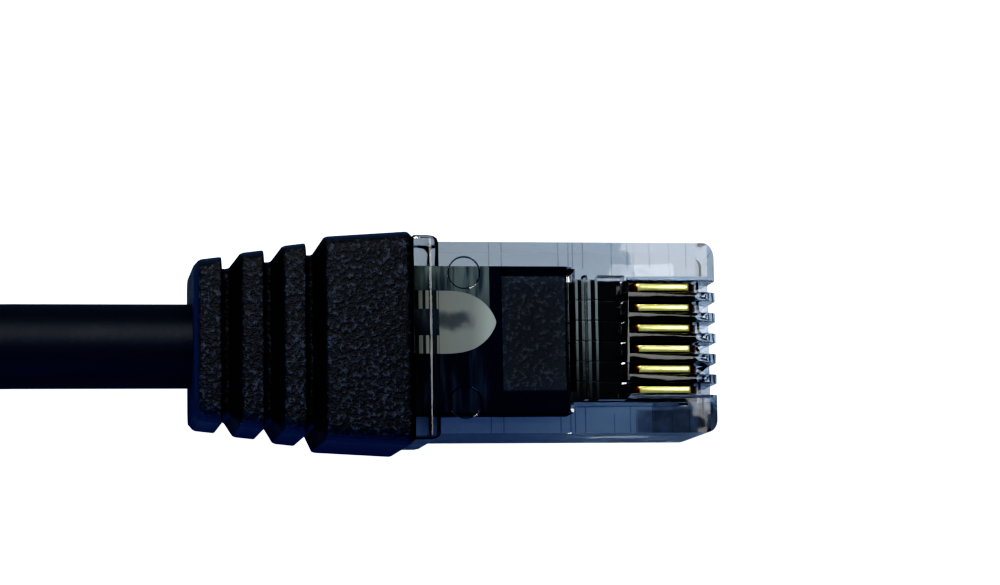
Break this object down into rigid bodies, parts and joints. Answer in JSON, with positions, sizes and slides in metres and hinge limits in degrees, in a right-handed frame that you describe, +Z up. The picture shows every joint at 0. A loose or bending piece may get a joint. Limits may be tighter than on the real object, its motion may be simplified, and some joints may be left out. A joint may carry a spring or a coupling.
{
  "type": "radio programming cable",
  "caption": "Round black lead with a clear modular plug in a ribbed moulded boot, stored as a tied hank that ends in a type-A plug.",
  "frame": {"origin": "on the floor, under the middle of the modular plug and its boot", "axes": "+X along the modular plug towards its nose, +Y across it, +Z up towards its contacts"},
  "size_m": [0.1652, 0.0378, 0.0165],
  "materials": {
    "clear_polycarbonate": "clear, polished",
    "boot_pvc": "moulded, fine grain",
    "cable_pvc": "satin",
    "gold_contact": "gold plated, bright",
    "pale_filler": "matte",
    "wire_black": "satin",
    "nickel_shell": "nickel plated",
    "white_insulator": "matte"
  },
  "bodies": {
    "root": {"plug_housing": "clear_polycarbonate", "contact_1": "gold_contact", "contact_2": "gold_contact", "contact_3": "gold_contact", "contact_4": "gold_contact", "contact_5": "gold_contact", "contact_6": "gold_contact", "conductor_1": "wire_black", "conductor_2": "wire_black", "conductor_3": "wire_black", "conductor_4": "wire_black", "conductor_5": "wire_black", "conductor_6": "wire_black", "inner_filler": "pale_filler", "moulded_boot": "boot_pvc", "cable_lead": "cable_pvc", "cable_hank": "cable_pvc", "cable_tail": "cable_pvc", "hank_tie": "boot_pvc", "usb_overmould": "boot_pvc", "usb_shell": "nickel_shell", "usb_tongue": "white_insulator", "usb_contact_1": "gold_contact", "usb_contact_2": "gold_contact", "usb_contact_3": "gold_contact", "usb_contact_4": "gold_contact"}
  },
  "joints": []
}
